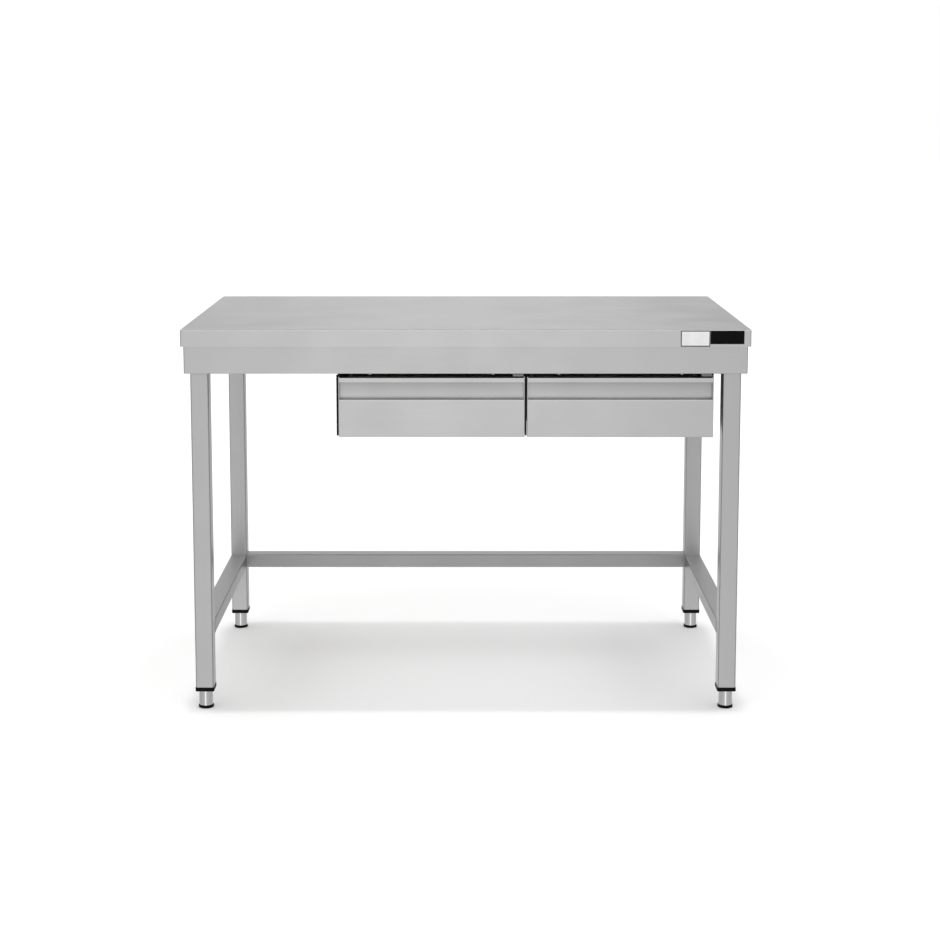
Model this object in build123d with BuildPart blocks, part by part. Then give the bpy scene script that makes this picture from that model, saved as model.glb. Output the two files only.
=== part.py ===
from build123d import *
import os

os.makedirs("parts", exist_ok=True)

# Stainless work table: +X right, +Y back, +Z up, origin on the floor under the top's centre.
# All sizes are in millimetres.

# Overall size and sheet stock
table_length = 1250.0
table_depth = 700.0
table_height = 864.0
sheet = 1.2

# Worktop
skirt_height = 38.0
top_bend = 2.5
hem_width = 5.5
board_thickness = 18.0
board_clearance = 2.0
board_screw_x = (-450, -150, 150, 450)
board_screw_y = (-100, 100)
omega_screw_x = (-400, 400)
skirt_bottom = table_height - skirt_height
board_bottom = table_height - sheet - board_thickness

# Apron frame under the top
apron_inset = 6.0
apron_bottom = 765.0
apron_bend = 2.5
bottom_flange = 12.0
top_flange = 25.0
corner_return = 30.0
apron_x = table_length / 2 - apron_inset
apron_y = table_depth / 2 - apron_inset
apron_height = board_bottom - apron_bottom

# Omega stiffeners under the board
omega_y = 150.0
omega_height = 30.0
omega_web = 40.0
omega_foot = 15.0
omega_sheet = 1.5
omega_end_gap = 0.5
omega_half_length = apron_x - top_flange - omega_end_gap
omega_bottom = board_bottom - omega_height

# Legs and rails
leg_size = 40.0
leg_corner = 3.0
leg_wall = 1.5
leg_inset = 18.0
leg_bottom = 50.0
leg_top = 820.0
leg_x = table_length / 2 - leg_inset - leg_size / 2
leg_y = table_depth / 2 - leg_inset - leg_size / 2
leg_bore = leg_size - 2 * leg_wall
rail_top = 197.0
rail_height = 34.0

# Leg brackets: a plate with two upturned flanges and a spigot that fills the leg's top
bracket_sheet = 3.0
bracket_width = 60.0
bracket_rise = 20.0
bracket_corner_gap = 5.0
spigot_size = 36.6
spigot_wall = 2.0
spigot_depth = 60.0

# Feet
pad_radius = 17.0
pad_height = 6.5
pad_boss_radius = 13.7
pad_boss_height = 13.0
pad_socket_floor = 3.0
stem_radius = 5.0
stem_top = 104.0
stem_clearance = 0.05
stem_lift = 0.1
collar_radius = 8.0
collar_height = 3.0
sleeve_radius = 15.4
sleeve_wall = 1.2
sleeve_lid = 2.0
sleeve_gap = 0.3
flange_height = 9.0
flange_size = 42.0
flange_corner = 3.5
insert_size = 36.6
insert_depth = 32.0
insert_chamfer = 0.8
stem_chamfer = 1.0
sleeve_round = 1.0
pad_top_round = 2.0
pad_bottom_round = 1.0
sleeve_bottom = pad_height + sleeve_gap
sleeve_top = leg_bottom - flange_height - sleeve_gap

# Drawers: two equal ones side by side, to the right of the middle
drawer_centres = {"left": -75.0, "right": 340.0}
front_width = 410.0
front_bottom = 623.5
front_top = 756.0
front_depth = 20.0
panel_top = 708.5
panel_bend = 3.0
grip_bottom = 712.5
lip_bottom = 745.8
lip_thickness = 2.4
lip_round = 1.1
grip_bend = 1.1
grip_depth = 15.0
grip_end_gap = 0.2
cheek_top = 759.0
cheek_thickness = 2.0
cheek_round = 1.2
front_y = -apron_y
liner_back = front_y + front_depth + sheet
tray_half_width = 193.3
tray_length = 500.0
tray_sheet = 1.0
tray_bottom = 632.0
tray_top = 736.0
tray_bend = 2.0
tray_rim = 8.0
tray_back = liner_back + tray_length

# Telescopic runners, in the gap between tray and hanger
runner_thickness = 12.7
runner_sheet = 1.2
runner_z = 679.0
runner_front = -320.0
runner_back = 180.0
runner_half_heights = {"outer": 22.5, "middle": 18.3, "inner": 14.0}
runner_depths = {"outer": (0.0, 9.5), "middle": (4.4, 10.0), "inner": (7.0, 12.7)}
runner_end_gaps = {"outer": 0.0, "middle": 5.0, "inner": 2.5}

# Hangers that carry the runners, and the strips that tie them together
hanger_sheet = 1.5
hanger_bottom = 627.0
hanger_back = 186.0
hanger_nose = -340.0
hanger_nose_top = 761.5
hanger_flange = 20.0
hanger_hem_width = 3.5
hanger_hem_depth = 10.0
tie_height = 60.0
tie_bottom = 654.0
tie_chamfer = 1.4

# Screws, pan heads
screw_radius = 2.0
screw_hole_radius = 2.1
head_radius = 3.8
head_height = 2.5
head_crown = 1.5
recess_length = 4.0
recess_width = 0.9
recess_depth = 1.3
board_screw_length = 14.0
frame_screw_length = 7.0
front_screw_length = 8.0
front_screw_x = 150.0
front_screw_z = (654.0, 694.0)
tie_screw_x = 135.0
tie_screw_y = -338.0
leg_screw_z = (779.0, 799.0)
leg_screw_radius = 4.0
leg_screw_head = 6.5
leg_screw_head_height = 4.0
leg_screw_hole_radius = 4.1
leg_screw_hole_depth = 10.0
leg_screw_length = 8.0
leg_screw_taper = 25.0
hex_socket_radius = 2.8
hex_socket_depth = 2.8

# Rear stops for the drawers
bumper_radius = 6.0
bumper_tip = 3.0
bumper_x = 120.0
bumper_z = 682.0
bumper_gap = 0.4

# Blank name plates on the front skirt: centre along X and Z, width and height
plate_thickness = 0.6
plate_corner = 1.5
light_plate_place = (502.5, 844.0, 64.5, 35.0)
dark_plate_place = (572.3, 846.5, 74.0, 29.5)

corners = {
    "front_left": (-1, -1),
    "front_right": (1, -1),
    "rear_left": (-1, 1),
    "rear_right": (1, 1),
}


def save(piece, label):
    """Label a finished piece and write its STEP file."""
    piece.part.label = label
    export_step(piece.part, f"parts/{label}.step")


def block(low, high):
    """Solid box between two corners."""
    size = [b - a for a, b in zip(low, high)]
    middle = [(a + b) / 2 for a, b in zip(low, high)]
    with BuildPart() as solid:
        with Locations(tuple(middle)):
            Box(*size)
    return solid


def pan_screws(planes, length):
    """Cross-recessed pan-head screws: each plane lies under a head, its normal along the shank."""
    with BuildPart() as screws:
        for plane in planes:
            with BuildSketch(plane):
                Circle(screw_radius)
            extrude(amount=length)
            with BuildSketch(plane):
                Circle(head_radius)
            head = extrude(amount=-head_height)
            rims = head.edges().filter_by(GeomType.CIRCLE)
            fillet(rims.sort_by(lambda rim: plane.to_local_coords(rim.center()).Z)[0], head_crown)
            with BuildSketch(plane.offset(-head_height)):
                Rectangle(recess_length, recess_width)
                Rectangle(recess_width, recess_length)
            extrude(amount=recess_depth, mode=Mode.SUBTRACT)
    return screws


def tube_along_x(low_x, high_x, y, z_top, width, height):
    """Rectangular tube with rounded corners, running along X."""
    section = Plane.YZ.offset(low_x)
    with BuildPart() as tube:
        with BuildSketch(section):
            with Locations((y, z_top - height / 2)):
                RectangleRounded(width, height, leg_corner)
                RectangleRounded(
                    width - 2 * leg_wall, height - 2 * leg_wall, leg_corner - leg_wall, mode=Mode.SUBTRACT
                )
        extrude(amount=high_x - low_x)
    return tube


# ---------------------------------------------------------------- worktop


def make_worktop_skin():
    """Folded top plate: one sheet with a skirt on four sides and a hem turned in under the skirt."""
    with BuildPart() as skin:
        with BuildSketch(Plane.XY.offset(skirt_bottom)):
            RectangleRounded(table_length, table_depth, top_bend)
        extrude(amount=skirt_height)
        fillet(skin.faces().sort_by(Axis.Z)[-1].edges(), top_bend)
        offset(amount=-sheet, openings=skin.faces().sort_by(Axis.Z)[0])
        with BuildSketch(Plane.XY.offset(skirt_bottom)):
            RectangleRounded(table_length, table_depth, top_bend)
            Rectangle(table_length - 2 * hem_width, table_depth - 2 * hem_width, mode=Mode.SUBTRACT)
        extrude(amount=sheet)
    return skin


def board_screw_spots():
    """Screws up through the apron's top flange, and through the omegas' feet, into the board."""
    flange_y = apron_y - top_flange / 2
    flange_x = apron_x - top_flange / 2
    flange_spots = [(x, side * flange_y) for x in board_screw_x for side in (-1, 1)]
    flange_spots += [(side * flange_x, y) for side in (-1, 1) for y in board_screw_y]
    foot_offset = omega_web / 2 + omega_foot / 2
    foot_spots = [(x, y + foot_offset) for x in omega_screw_x for y in (-omega_y, omega_y)]
    foot_spots += [(x, y - foot_offset) for x in omega_screw_x for y in (-omega_y, omega_y)]
    return flange_spots, foot_spots


def make_core_board():
    """Laminated board that fills the top and takes the screws from below."""
    flange_spots, foot_spots = board_screw_spots()
    inset = sheet + board_clearance
    with BuildPart() as board:
        with BuildSketch(Plane.XY.offset(board_bottom)):
            Rectangle(table_length - 2 * inset, table_depth - 2 * inset)
        extrude(amount=board_thickness)
        with BuildSketch(Plane.XY.offset(board_bottom)):
            with Locations(*flange_spots, *foot_spots):
                Circle(screw_hole_radius)
        extrude(amount=board_screw_length, mode=Mode.SUBTRACT)
    return board


def make_board_screws():
    """All the screws that hold the apron and the omegas to the board."""
    flange_spots, foot_spots = board_screw_spots()
    flange_plane = Plane.XY.offset(board_bottom - sheet)
    foot_plane = Plane.XY.offset(board_bottom - omega_sheet)
    planes = [Plane(flange_plane.origin + Vector(x, y, 0)) for x, y in flange_spots]
    planes += [Plane(foot_plane.origin + Vector(x, y, 0)) for x, y in foot_spots]
    return pan_screws(planes, board_screw_length)


def hanger_screw_spots():
    """Screws up through the hangers' top flanges into the omegas."""
    xs = []
    for name, web_low, web_high, sides in hanger_webs():
        for side in sides:
            edge = web_high if side > 0 else web_low
            xs.append(edge + side * hanger_flange / 2)
    return [(x, y) for x in xs for y in (-omega_y, omega_y)]


def make_stiffeners():
    """Two omega channels that run lengthwise under the board, open side up."""
    half_web = omega_web / 2
    half_span = half_web + omega_foot
    t = omega_sheet
    outline = [
        (-half_span, board_bottom),
        (-half_span, board_bottom - t),
        (-half_web, board_bottom - t),
        (-half_web, omega_bottom),
        (half_web, omega_bottom),
        (half_web, board_bottom - t),
        (half_span, board_bottom - t),
        (half_span, board_bottom),
        (half_web - t, board_bottom),
        (half_web - t, omega_bottom + t),
        (t - half_web, omega_bottom + t),
        (t - half_web, board_bottom),
    ]
    flange_spots, foot_spots = board_screw_spots()
    with BuildPart() as omegas:
        for middle_y in (-omega_y, omega_y):
            with BuildSketch(Plane.YZ.offset(-omega_half_length)):
                with BuildLine():
                    Polyline(*[(middle_y + across, z) for across, z in outline], close=True)
                make_face()
            extrude(amount=2 * omega_half_length)
        with BuildSketch(Plane.XY.offset(board_bottom - t)):
            with Locations(*foot_spots):
                Circle(screw_hole_radius)
        extrude(amount=t, mode=Mode.SUBTRACT)
        with BuildSketch(Plane.XY.offset(omega_bottom)):
            with Locations(*hanger_screw_spots()):
                Circle(screw_hole_radius)
        extrude(amount=t, mode=Mode.SUBTRACT)
    return omegas


# ---------------------------------------------------------------- apron frame


def tie_screw_spots():
    """Screws up through the front apron's lower flange, two above each drawer."""
    return [(x + side * tie_screw_x, tie_screw_y) for x in drawer_centres.values() for side in (-1, 1)]


def make_apron(low, high):
    """One side of the folded apron frame: the part of the whole ring between two XY corners."""
    middle = ((low[0] + high[0]) / 2, (low[1] + high[1]) / 2, apron_bottom + apron_height / 2)
    flange_spots, foot_spots = board_screw_spots()
    with BuildPart() as apron:
        with BuildSketch(Plane.XY.offset(apron_bottom)):
            RectangleRounded(2 * apron_x, 2 * apron_y, apron_bend)
        extrude(amount=apron_height)
        fillet(apron.faces().sort_by(Axis.Z)[0].edges(), apron_bend)
        offset(amount=-sheet, openings=apron.faces().sort_by(Axis.Z)[-1])
        with BuildSketch(Plane.XY.offset(apron_bottom)):
            Rectangle(2 * (apron_x - bottom_flange), 2 * (apron_y - bottom_flange))
            with Locations(*tie_screw_spots()):
                Circle(screw_hole_radius)
        extrude(amount=sheet, mode=Mode.SUBTRACT)
        with BuildSketch(Plane.XY.offset(board_bottom - sheet)):
            RectangleRounded(2 * apron_x, 2 * apron_y, apron_bend)
            Rectangle(2 * (apron_x - top_flange), 2 * (apron_y - top_flange), mode=Mode.SUBTRACT)
            with Locations(*flange_spots):
                Circle(screw_hole_radius, mode=Mode.SUBTRACT)
        extrude(amount=sheet)
        with Locations(middle):
            Box(high[0] - low[0], high[1] - low[1], apron_height, mode=Mode.INTERSECT)
    return apron


def apron_regions():
    """Front and rear pieces wrap round the corners, and the side pieces fit between them."""
    seam = apron_y - corner_return
    return {
        "apron_front": ((-apron_x, -apron_y), (apron_x, -seam)),
        "apron_rear": ((-apron_x, seam), (apron_x, apron_y)),
        "apron_left": ((-apron_x, -seam), (0, seam)),
        "apron_right": ((0, -seam), (apron_x, seam)),
    }


# ---------------------------------------------------------------- legs and rails


def leg_screw_planes(side_x, side_y):
    """Planes under the heads of one leg's screws, with normals pointing into the leg."""
    x = side_x * (leg_x - leg_size / 2)
    return [Plane((x, side_y * leg_y, z), z_dir=(side_x, 0, 0)) for z in leg_screw_z]


def make_bracket(side_x, side_y):
    """Corner bracket, welded inside the apron, with the spigot that the leg is pushed onto."""
    outer_x = apron_x - sheet
    outer_y = apron_y - sheet
    inner_x = outer_x - bracket_width
    inner_y = outer_y - bracket_width
    t = bracket_sheet
    plate_middle = (side_x * (inner_x + outer_x - t) / 2, side_y * (inner_y + outer_y - t) / 2)
    run = bracket_width - bracket_corner_gap
    flange_x_middle = (side_x * (outer_x - t / 2), side_y * (inner_y + run / 2))
    flange_y_middle = (side_x * (inner_x + run / 2), side_y * (outer_y - t / 2))
    with BuildPart() as bracket:
        with BuildSketch(Plane.XY.offset(leg_top)):
            with Locations(plate_middle):
                Rectangle(bracket_width - t, bracket_width - t)
        extrude(amount=t)
        with BuildSketch(Plane.XY.offset(leg_top)):
            with Locations(flange_x_middle):
                Rectangle(t, run)
            with Locations(flange_y_middle):
                Rectangle(run, t)
        extrude(amount=bracket_rise)
        with BuildSketch(Plane.XY.offset(leg_top - spigot_depth)):
            with Locations((side_x * leg_x, side_y * leg_y)):
                RectangleRounded(spigot_size, spigot_size, spigot_wall)
                Rectangle(spigot_size - 2 * spigot_wall, spigot_size - 2 * spigot_wall, mode=Mode.SUBTRACT)
        extrude(amount=spigot_depth)
        for plane in leg_screw_planes(side_x, side_y):
            with BuildSketch(plane):
                Circle(leg_screw_hole_radius)
            extrude(amount=leg_screw_hole_depth, mode=Mode.SUBTRACT)
    return bracket


def make_leg(side_x, side_y):
    """Square tube leg with rounded corners."""
    with BuildPart() as leg:
        with BuildSketch(Plane.XY.offset(leg_bottom)):
            with Locations((side_x * leg_x, side_y * leg_y)):
                RectangleRounded(leg_size, leg_size, leg_corner)
                RectangleRounded(leg_bore, leg_bore, leg_corner - leg_wall, mode=Mode.SUBTRACT)
        extrude(amount=leg_top - leg_bottom)
        for plane in leg_screw_planes(side_x, side_y):
            with BuildSketch(plane):
                Circle(leg_screw_hole_radius)
            extrude(amount=leg_screw_hole_depth, mode=Mode.SUBTRACT)
    return leg


def make_leg_screws():
    """Button-head screws that clamp each leg to its spigot, on the legs' inner sides."""
    with BuildPart() as screws:
        for side_x, side_y in corners.values():
            for plane in leg_screw_planes(side_x, side_y):
                with BuildSketch(plane):
                    Circle(leg_screw_radius)
                extrude(amount=leg_screw_length)
                with BuildSketch(plane):
                    Circle(leg_screw_head)
                extrude(amount=-leg_screw_head_height, taper=leg_screw_taper)
                with BuildSketch(plane.offset(-leg_screw_head_height)):
                    RegularPolygon(hex_socket_radius, 6)
                extrude(amount=hex_socket_depth, mode=Mode.SUBTRACT)
    return screws


def make_side_rail(side_x):
    """Lower rail between a front leg and a rear leg."""
    low_y = -(leg_y - leg_size / 2)
    with BuildPart() as rail:
        with BuildSketch(Plane.XZ.offset(-low_y)):
            with Locations((side_x * leg_x, rail_top - rail_height / 2)):
                RectangleRounded(leg_size, rail_height, leg_corner)
                RectangleRounded(
                    leg_bore, rail_height - 2 * leg_wall, leg_corner - leg_wall, mode=Mode.SUBTRACT
                )
        extrude(amount=2 * low_y)
    return rail


# ---------------------------------------------------------------- feet


def make_foot_insert(side_x, side_y):
    """Black end plug: a flange a little wider than the leg, a body inside it and a bore for the stem."""
    place = (side_x * leg_x, side_y * leg_y)
    with BuildPart() as insert:
        with BuildSketch(Plane.XY.offset(leg_bottom - flange_height)):
            with Locations(place):
                RectangleRounded(flange_size, flange_size, flange_corner)
        extrude(amount=flange_height)
        chamfer(insert.faces().sort_by(Axis.Z)[0].edges(), insert_chamfer)
        with BuildSketch(Plane.XY.offset(leg_bottom)):
            with Locations(place):
                RectangleRounded(insert_size, insert_size, leg_corner - leg_wall)
        extrude(amount=insert_depth)
        with BuildSketch(Plane.XY.offset(leg_bottom - flange_height)):
            with Locations(place):
                Circle(stem_radius + stem_clearance)
        extrude(amount=flange_height + insert_depth, mode=Mode.SUBTRACT)
    return insert


def make_foot_stem(side_x, side_y):
    """Threaded stem, shown at its outer diameter, with the collar that carries the sleeve."""
    foot = Plane((side_x * leg_x, side_y * leg_y, 0))
    collar_top = sleeve_top - sleeve_lid
    with BuildPart() as stem:
        with BuildSketch(foot.offset(pad_socket_floor + stem_lift)):
            Circle(stem_radius)
        extrude(amount=stem_top - pad_socket_floor - stem_lift)
        chamfer(stem.edges().filter_by(GeomType.CIRCLE), stem_chamfer)
        with BuildSketch(foot.offset(collar_top - collar_height)):
            Circle(collar_radius)
        extrude(amount=collar_height)
    return stem


def make_foot_sleeve(side_x, side_y):
    """Stainless sleeve, closed by a lid at the top, that turns with the stem."""
    foot = Plane((side_x * leg_x, side_y * leg_y, 0))
    height = sleeve_top - sleeve_bottom
    with BuildPart() as sleeve:
        with BuildSketch(foot.offset(sleeve_bottom)):
            Circle(sleeve_radius)
        extrude(amount=height)
        fillet(sleeve.edges().sort_by(Axis.Z)[-1], sleeve_round)
        with BuildSketch(foot.offset(sleeve_bottom)):
            Circle(sleeve_radius - sleeve_wall)
        extrude(amount=height - sleeve_lid, mode=Mode.SUBTRACT)
        with BuildSketch(foot.offset(sleeve_bottom)):
            Circle(stem_radius + stem_clearance)
        extrude(amount=height, mode=Mode.SUBTRACT)
    return sleeve


def make_foot_pad(side_x, side_y):
    """Black base that stands on the floor, with a boss inside the sleeve and the stem's socket."""
    foot = Plane((side_x * leg_x, side_y * leg_y, 0))
    with BuildPart() as pad:
        with BuildSketch(foot):
            Circle(pad_radius)
        extrude(amount=pad_height)
        fillet(pad.edges().sort_by(Axis.Z)[-1], pad_top_round)
        fillet(pad.edges().sort_by(Axis.Z)[0], pad_bottom_round)
        with BuildSketch(foot.offset(pad_height)):
            Circle(pad_boss_radius)
        extrude(amount=pad_boss_height)
        with BuildSketch(foot.offset(pad_socket_floor)):
            Circle(stem_radius + stem_clearance)
        extrude(amount=pad_height + pad_boss_height, mode=Mode.SUBTRACT)
    return pad


# ---------------------------------------------------------------- drawer frame


def hanger_webs():
    """Name, web's low and high X, and the sides that its top flange turns to."""
    reach = tray_half_width + runner_thickness
    left_face = drawer_centres["left"] - reach
    middle_low = drawer_centres["left"] + reach
    middle_high = drawer_centres["right"] - reach
    right_face = drawer_centres["right"] + reach
    return [
        ("hanger_left", left_face - hanger_sheet, left_face, (1,)),
        ("hanger_centre", middle_low, middle_high, (-1, 1)),
        ("hanger_right", right_face, right_face + hanger_sheet, (-1,)),
    ]


def make_hanger(web_low, web_high, sides):
    """Upright plate beside a drawer, hung from the omegas by its top flange.

    The left and centre ones have a nose that closes the gap beside the drawer fronts.
    """
    outline = [
        (liner_back, hanger_bottom),
        (hanger_back, hanger_bottom),
        (hanger_back, omega_bottom),
        (liner_back, omega_bottom),
    ]
    if 1 in sides:
        outline += [
            (liner_back, hanger_nose_top),
            (hanger_nose, hanger_nose_top),
            (hanger_nose, hanger_bottom),
        ]
    flange_length = hanger_back - liner_back
    flange_y = (hanger_back + liner_back) / 2
    with BuildPart() as hanger:
        with BuildSketch(Plane.YZ.offset(web_low)):
            with BuildLine():
                Polyline(*outline, close=True)
            make_face()
        extrude(amount=web_high - web_low)
        for side in sides:
            edge = web_high if side > 0 else web_low
            with BuildSketch(Plane.XY.offset(omega_bottom - hanger_sheet)):
                with Locations((edge + side * hanger_flange / 2, flange_y)):
                    Rectangle(hanger_flange, flange_length)
                spots = hanger_screw_spots()
                own_spots = [spot for spot in spots if 0 < side * (spot[0] - edge) < hanger_flange]
                with Locations(*own_spots):
                    Circle(screw_hole_radius, mode=Mode.SUBTRACT)
            extrude(amount=hanger_sheet)
        if sides == (1,):
            hem_height = hanger_nose_top - hanger_bottom
            hem_middle = (
                web_high - hanger_hem_width / 2,
                hanger_nose + hanger_hem_depth / 2,
                hanger_bottom + hem_height / 2,
            )
            with Locations(hem_middle):
                Box(hanger_hem_width, hanger_hem_depth, hem_height)
    return hanger


def make_tie_front():
    """Strip on the front apron's lower flange that joins the hangers' front edges."""
    webs = hanger_webs()
    low_x = webs[0][1]
    high_x = webs[-1][2]
    low_y = -apron_y + sheet
    low_z = apron_bottom + sheet
    with BuildPart() as tie:
        with BuildSketch(Plane.XY.offset(low_z)):
            with Locations(((low_x + high_x) / 2, (low_y + liner_back) / 2)):
                Rectangle(high_x - low_x, liner_back - low_y)
            with Locations(*tie_screw_spots()):
                Circle(screw_hole_radius, mode=Mode.SUBTRACT)
        extrude(amount=hanger_sheet)
        chamfer(tie.edges().filter_by(Axis.X).sort_by(Axis.Z)[:2].sort_by(Axis.Y)[0], tie_chamfer)
    return tie


def make_tie_rear():
    """Upright strip across the hangers' rear edges that carries the drawer stops."""
    webs = hanger_webs()
    low = (webs[0][1], hanger_back, tie_bottom)
    high = (webs[-1][2], hanger_back + hanger_sheet, tie_bottom + tie_height)
    return block(low, high)


def make_drawer_frame_screws():
    """Screws of the drawer frame: into the omegas, and through the front apron's flange."""
    hanger_z = omega_bottom - hanger_sheet
    planes = [Plane((x, y, hanger_z)) for x, y in hanger_screw_spots()]
    planes += [Plane((x, y, apron_bottom)) for x, y in tie_screw_spots()]
    return pan_screws(planes, frame_screw_length)


def make_bumpers():
    """Rubber stops on the rear strip, two behind each drawer."""
    spots = [(x + side * bumper_x, bumper_z) for x in drawer_centres.values() for side in (-1, 1)]
    length = hanger_back - tray_back - bumper_gap
    with BuildPart() as bumpers:
        with BuildSketch(Plane.XZ.offset(-hanger_back)):
            with Locations(*spots):
                Circle(bumper_radius)
        extrude(amount=length)
        tips = bumpers.faces().filter_by(Axis.Y).group_by(Axis.Y)[0].edges()
        fillet(tips, bumper_tip)
    return bumpers


# ---------------------------------------------------------------- runners


def runner_sides(centre):
    """Hanger face X and the direction towards the drawer, for the two runners of one drawer."""
    reach = tray_half_width + runner_thickness
    return [(centre - reach, 1), (centre + reach, -1)]


def make_runner(kind, centres):
    """Channel-shaped members of one kind, one on each side of each drawer in the list."""
    low_u, high_u = runner_depths[kind]
    half_height = runner_half_heights[kind]
    front = runner_front + runner_end_gaps[kind]
    length = runner_back - runner_end_gaps[kind] - front
    t = runner_sheet
    web_u = high_u - t if kind == "inner" else low_u
    with BuildPart() as members:
        for centre in centres:
            for face_x, side in runner_sides(centre):
                with BuildSketch(Plane.XZ.offset(-front)):
                    with Locations((face_x + side * (low_u + high_u) / 2, runner_z)):
                        Rectangle(high_u - low_u, 2 * half_height)
                        Rectangle(high_u - low_u, 2 * (half_height - t), mode=Mode.SUBTRACT)
                    with Locations((face_x + side * (web_u + t / 2), runner_z)):
                        Rectangle(t, 2 * half_height)
                extrude(amount=-length)
    return members


# ---------------------------------------------------------------- drawers


def make_tray(centre):
    """Drawer box folded from one sheet, open at the top, with a rim turned inwards."""
    middle = (centre, (liner_back + tray_back) / 2)
    with BuildPart() as tray:
        with BuildSketch(Plane.XY.offset(tray_bottom)):
            with Locations(middle):
                RectangleRounded(2 * tray_half_width, tray_length, tray_bend)
        extrude(amount=tray_top - tray_bottom)
        fillet(tray.faces().sort_by(Axis.Z)[0].edges(), tray_bend)
        offset(amount=-tray_sheet, openings=tray.faces().sort_by(Axis.Z)[-1])
        with BuildSketch(Plane.XY.offset(tray_top - tray_sheet)):
            with Locations(middle):
                RectangleRounded(2 * tray_half_width, tray_length, tray_bend)
                Rectangle(2 * (tray_half_width - tray_rim), tray_length - 2 * tray_rim, mode=Mode.SUBTRACT)
        extrude(amount=tray_sheet)
        for plane in front_screw_planes(centre):
            with BuildSketch(plane):
                Circle(screw_hole_radius)
            extrude(amount=tray_sheet, mode=Mode.SUBTRACT)
    return tray


def front_screw_planes(centre):
    """Planes on the inner face of the tray's front wall, with normals pointing forwards."""
    y = liner_back + tray_sheet
    return [
        Plane((centre + side * front_screw_x, y, z), z_dir=(0, -1, 0))
        for side in (-1, 1)
        for z in front_screw_z
    ]


def make_cheek(inner_x, side):
    """End plate of a drawer front, pressed so that its outer rim is rounded."""
    with BuildPart() as cheek:
        with BuildSketch(Plane.YZ.offset(inner_x)):
            with Locations((front_y + front_depth / 2, (front_bottom + cheek_top) / 2)):
                RectangleRounded(front_depth, cheek_top - front_bottom, panel_bend)
        extrude(amount=side * cheek_thickness)
        end_faces = cheek.faces().sort_by(Axis.X)
        outer_face = end_faces[-1] if side > 0 else end_faces[0]
        fillet(outer_face.edges(), cheek_round)
    return cheek


def make_drawer_front(centre):
    """Lower front panel with a rolled top edge, a bottom return and a cheek at each end."""
    half = front_width / 2 - cheek_thickness
    left_cheek = make_cheek(centre - half, -1)
    right_cheek = make_cheek(centre + half, 1)
    with BuildPart() as front:
        with BuildSketch(Plane.YZ.offset(centre - half)):
            with Locations((front_y + front_depth / 2, (front_bottom + panel_top) / 2)):
                Rectangle(front_depth, panel_top - front_bottom)
        extrude(amount=2 * half)
        front_edges = front.edges().filter_by(Axis.X).group_by(Axis.Y)[0]
        fillet(front_edges, panel_bend)
        hollow_opening = front.faces().filter_by(Axis.Y).sort_by(Axis.Y)[-1]
        ends = front.faces().filter_by(Axis.X)
        offset(amount=-sheet, openings=[hollow_opening, *ends])
        add(left_cheek.part)
        add(right_cheek.part)
    return front


def make_grip(centre):
    """Upper strip: a lip to pull on, an open finger space under and behind it, and its back wall."""
    half = front_width / 2 - cheek_thickness - grip_end_gap
    rear_y = front_y + front_depth
    wall_y = front_y + grip_depth
    outline = [
        (front_y, front_top),
        (front_y, lip_bottom),
        (front_y + lip_thickness, lip_bottom),
        (front_y + lip_thickness, front_top - sheet),
        (wall_y, front_top - sheet),
        (wall_y, grip_bottom),
        (rear_y, grip_bottom),
        (rear_y, grip_bottom + sheet),
        (wall_y + sheet, grip_bottom + sheet),
        (wall_y + sheet, front_top - sheet),
        (rear_y, front_top - sheet),
        (rear_y, front_top),
    ]
    with BuildPart() as grip:
        with BuildSketch(Plane.YZ.offset(centre - half)):
            with BuildLine():
                Polyline(*outline, close=True)
            make_face()
        extrude(amount=2 * half)
        long_edges = grip.edges().filter_by(Axis.X).group_by(Axis.Z)
        lip_edges = long_edges[2]
        top_front_edge = long_edges[-1].sort_by(Axis.Y)[0]
        fillet(lip_edges, lip_round)
        fillet(top_front_edge, grip_bend)
    return grip


def make_liner(centre):
    """Flat back sheet that closes the front and is clamped against the tray."""
    half = front_width / 2 - cheek_thickness
    low = (centre - half, front_y + front_depth, front_bottom)
    high = (centre + half, liner_back, front_top)
    blank = block(low, high)
    with BuildPart() as liner:
        add(blank.part)
        for plane in front_screw_planes(centre):
            with BuildSketch(plane.offset(tray_sheet)):
                Circle(screw_hole_radius)
            extrude(amount=sheet, mode=Mode.SUBTRACT)
    return liner


# ---------------------------------------------------------------- name plates


def make_plate(place):
    """Thin blank plate stuck to the front skirt."""
    centre_x, centre_z, width, height = place
    with BuildPart() as plate:
        with BuildSketch(Plane.XZ.offset(table_depth / 2)):
            with Locations((centre_x, centre_z)):
                RectangleRounded(width, height, plate_corner)
        extrude(amount=plate_thickness)
    return plate


# ---------------------------------------------------------------- write every piece

save(make_worktop_skin(), "worktop_skin")
save(make_core_board(), "core_board")
save(make_board_screws(), "board_screws")
save(make_stiffeners(), "omega_stiffeners")

for name, (low, high) in apron_regions().items():
    save(make_apron(low, high), name)

for name, (side_x, side_y) in corners.items():
    save(make_bracket(side_x, side_y), f"leg_bracket_{name}")
    save(make_leg(side_x, side_y), f"leg_{name}")
    save(make_foot_insert(side_x, side_y), f"foot_insert_{name}")
    save(make_foot_stem(side_x, side_y), f"foot_stem_{name}")
    save(make_foot_sleeve(side_x, side_y), f"foot_sleeve_{name}")
    save(make_foot_pad(side_x, side_y), f"foot_pad_{name}")
save(make_leg_screws(), "leg_screws")

inner_leg_x = leg_x - leg_size / 2
save(tube_along_x(-inner_leg_x, inner_leg_x, leg_y, rail_top, leg_size, rail_height), "rear_rail")
save(make_side_rail(-1), "left_rail")
save(make_side_rail(1), "right_rail")

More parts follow.
